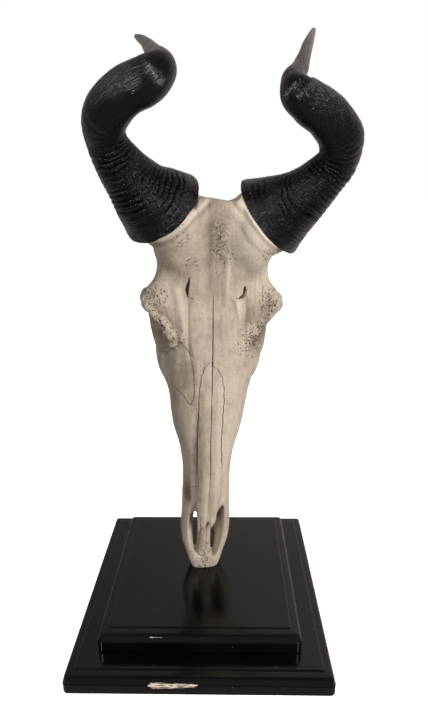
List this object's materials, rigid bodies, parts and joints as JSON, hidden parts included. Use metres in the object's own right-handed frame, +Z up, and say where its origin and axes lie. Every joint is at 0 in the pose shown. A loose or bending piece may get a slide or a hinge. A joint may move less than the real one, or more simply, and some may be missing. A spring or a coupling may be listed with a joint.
{
  "type": "mounted hartebeest skull",
  "caption": "Hartebeest skull with ringed, kinked black horns, mounted nose down on a stepped square black plinth as a still display piece.",
  "frame": {"origin": "middle of the plinth's flat underside, where it stands on the floor or a shelf", "axes": "+Z up; -Y towards the viewer, the side that the skull's face looks to; +X to the viewer's right"},
  "size_m": [0.2994, 0.292, 0.6421],
  "materials": {
    "bone": "dry matte bone, warm beige grey, porous at the rims",
    "horn": "near-black satin horn keratin with fine fibres along it and crowded rings on its lower half",
    "black_lacquer": "moulded board with glossy black lacquer, worn at the edges"
  },
  "bodies": {
    "root": {"plinth_lower": "black_lacquer", "plinth_upper": "black_lacquer", "cranium": "bone", "maxilla_left": "bone", "maxilla_right": "bone", "premaxilla_left": "bone", "premaxilla_right": "bone", "nasal_left": "bone", "nasal_right": "bone", "horn_left": "horn", "horn_right": "horn"}
  },
  "joints": []
}
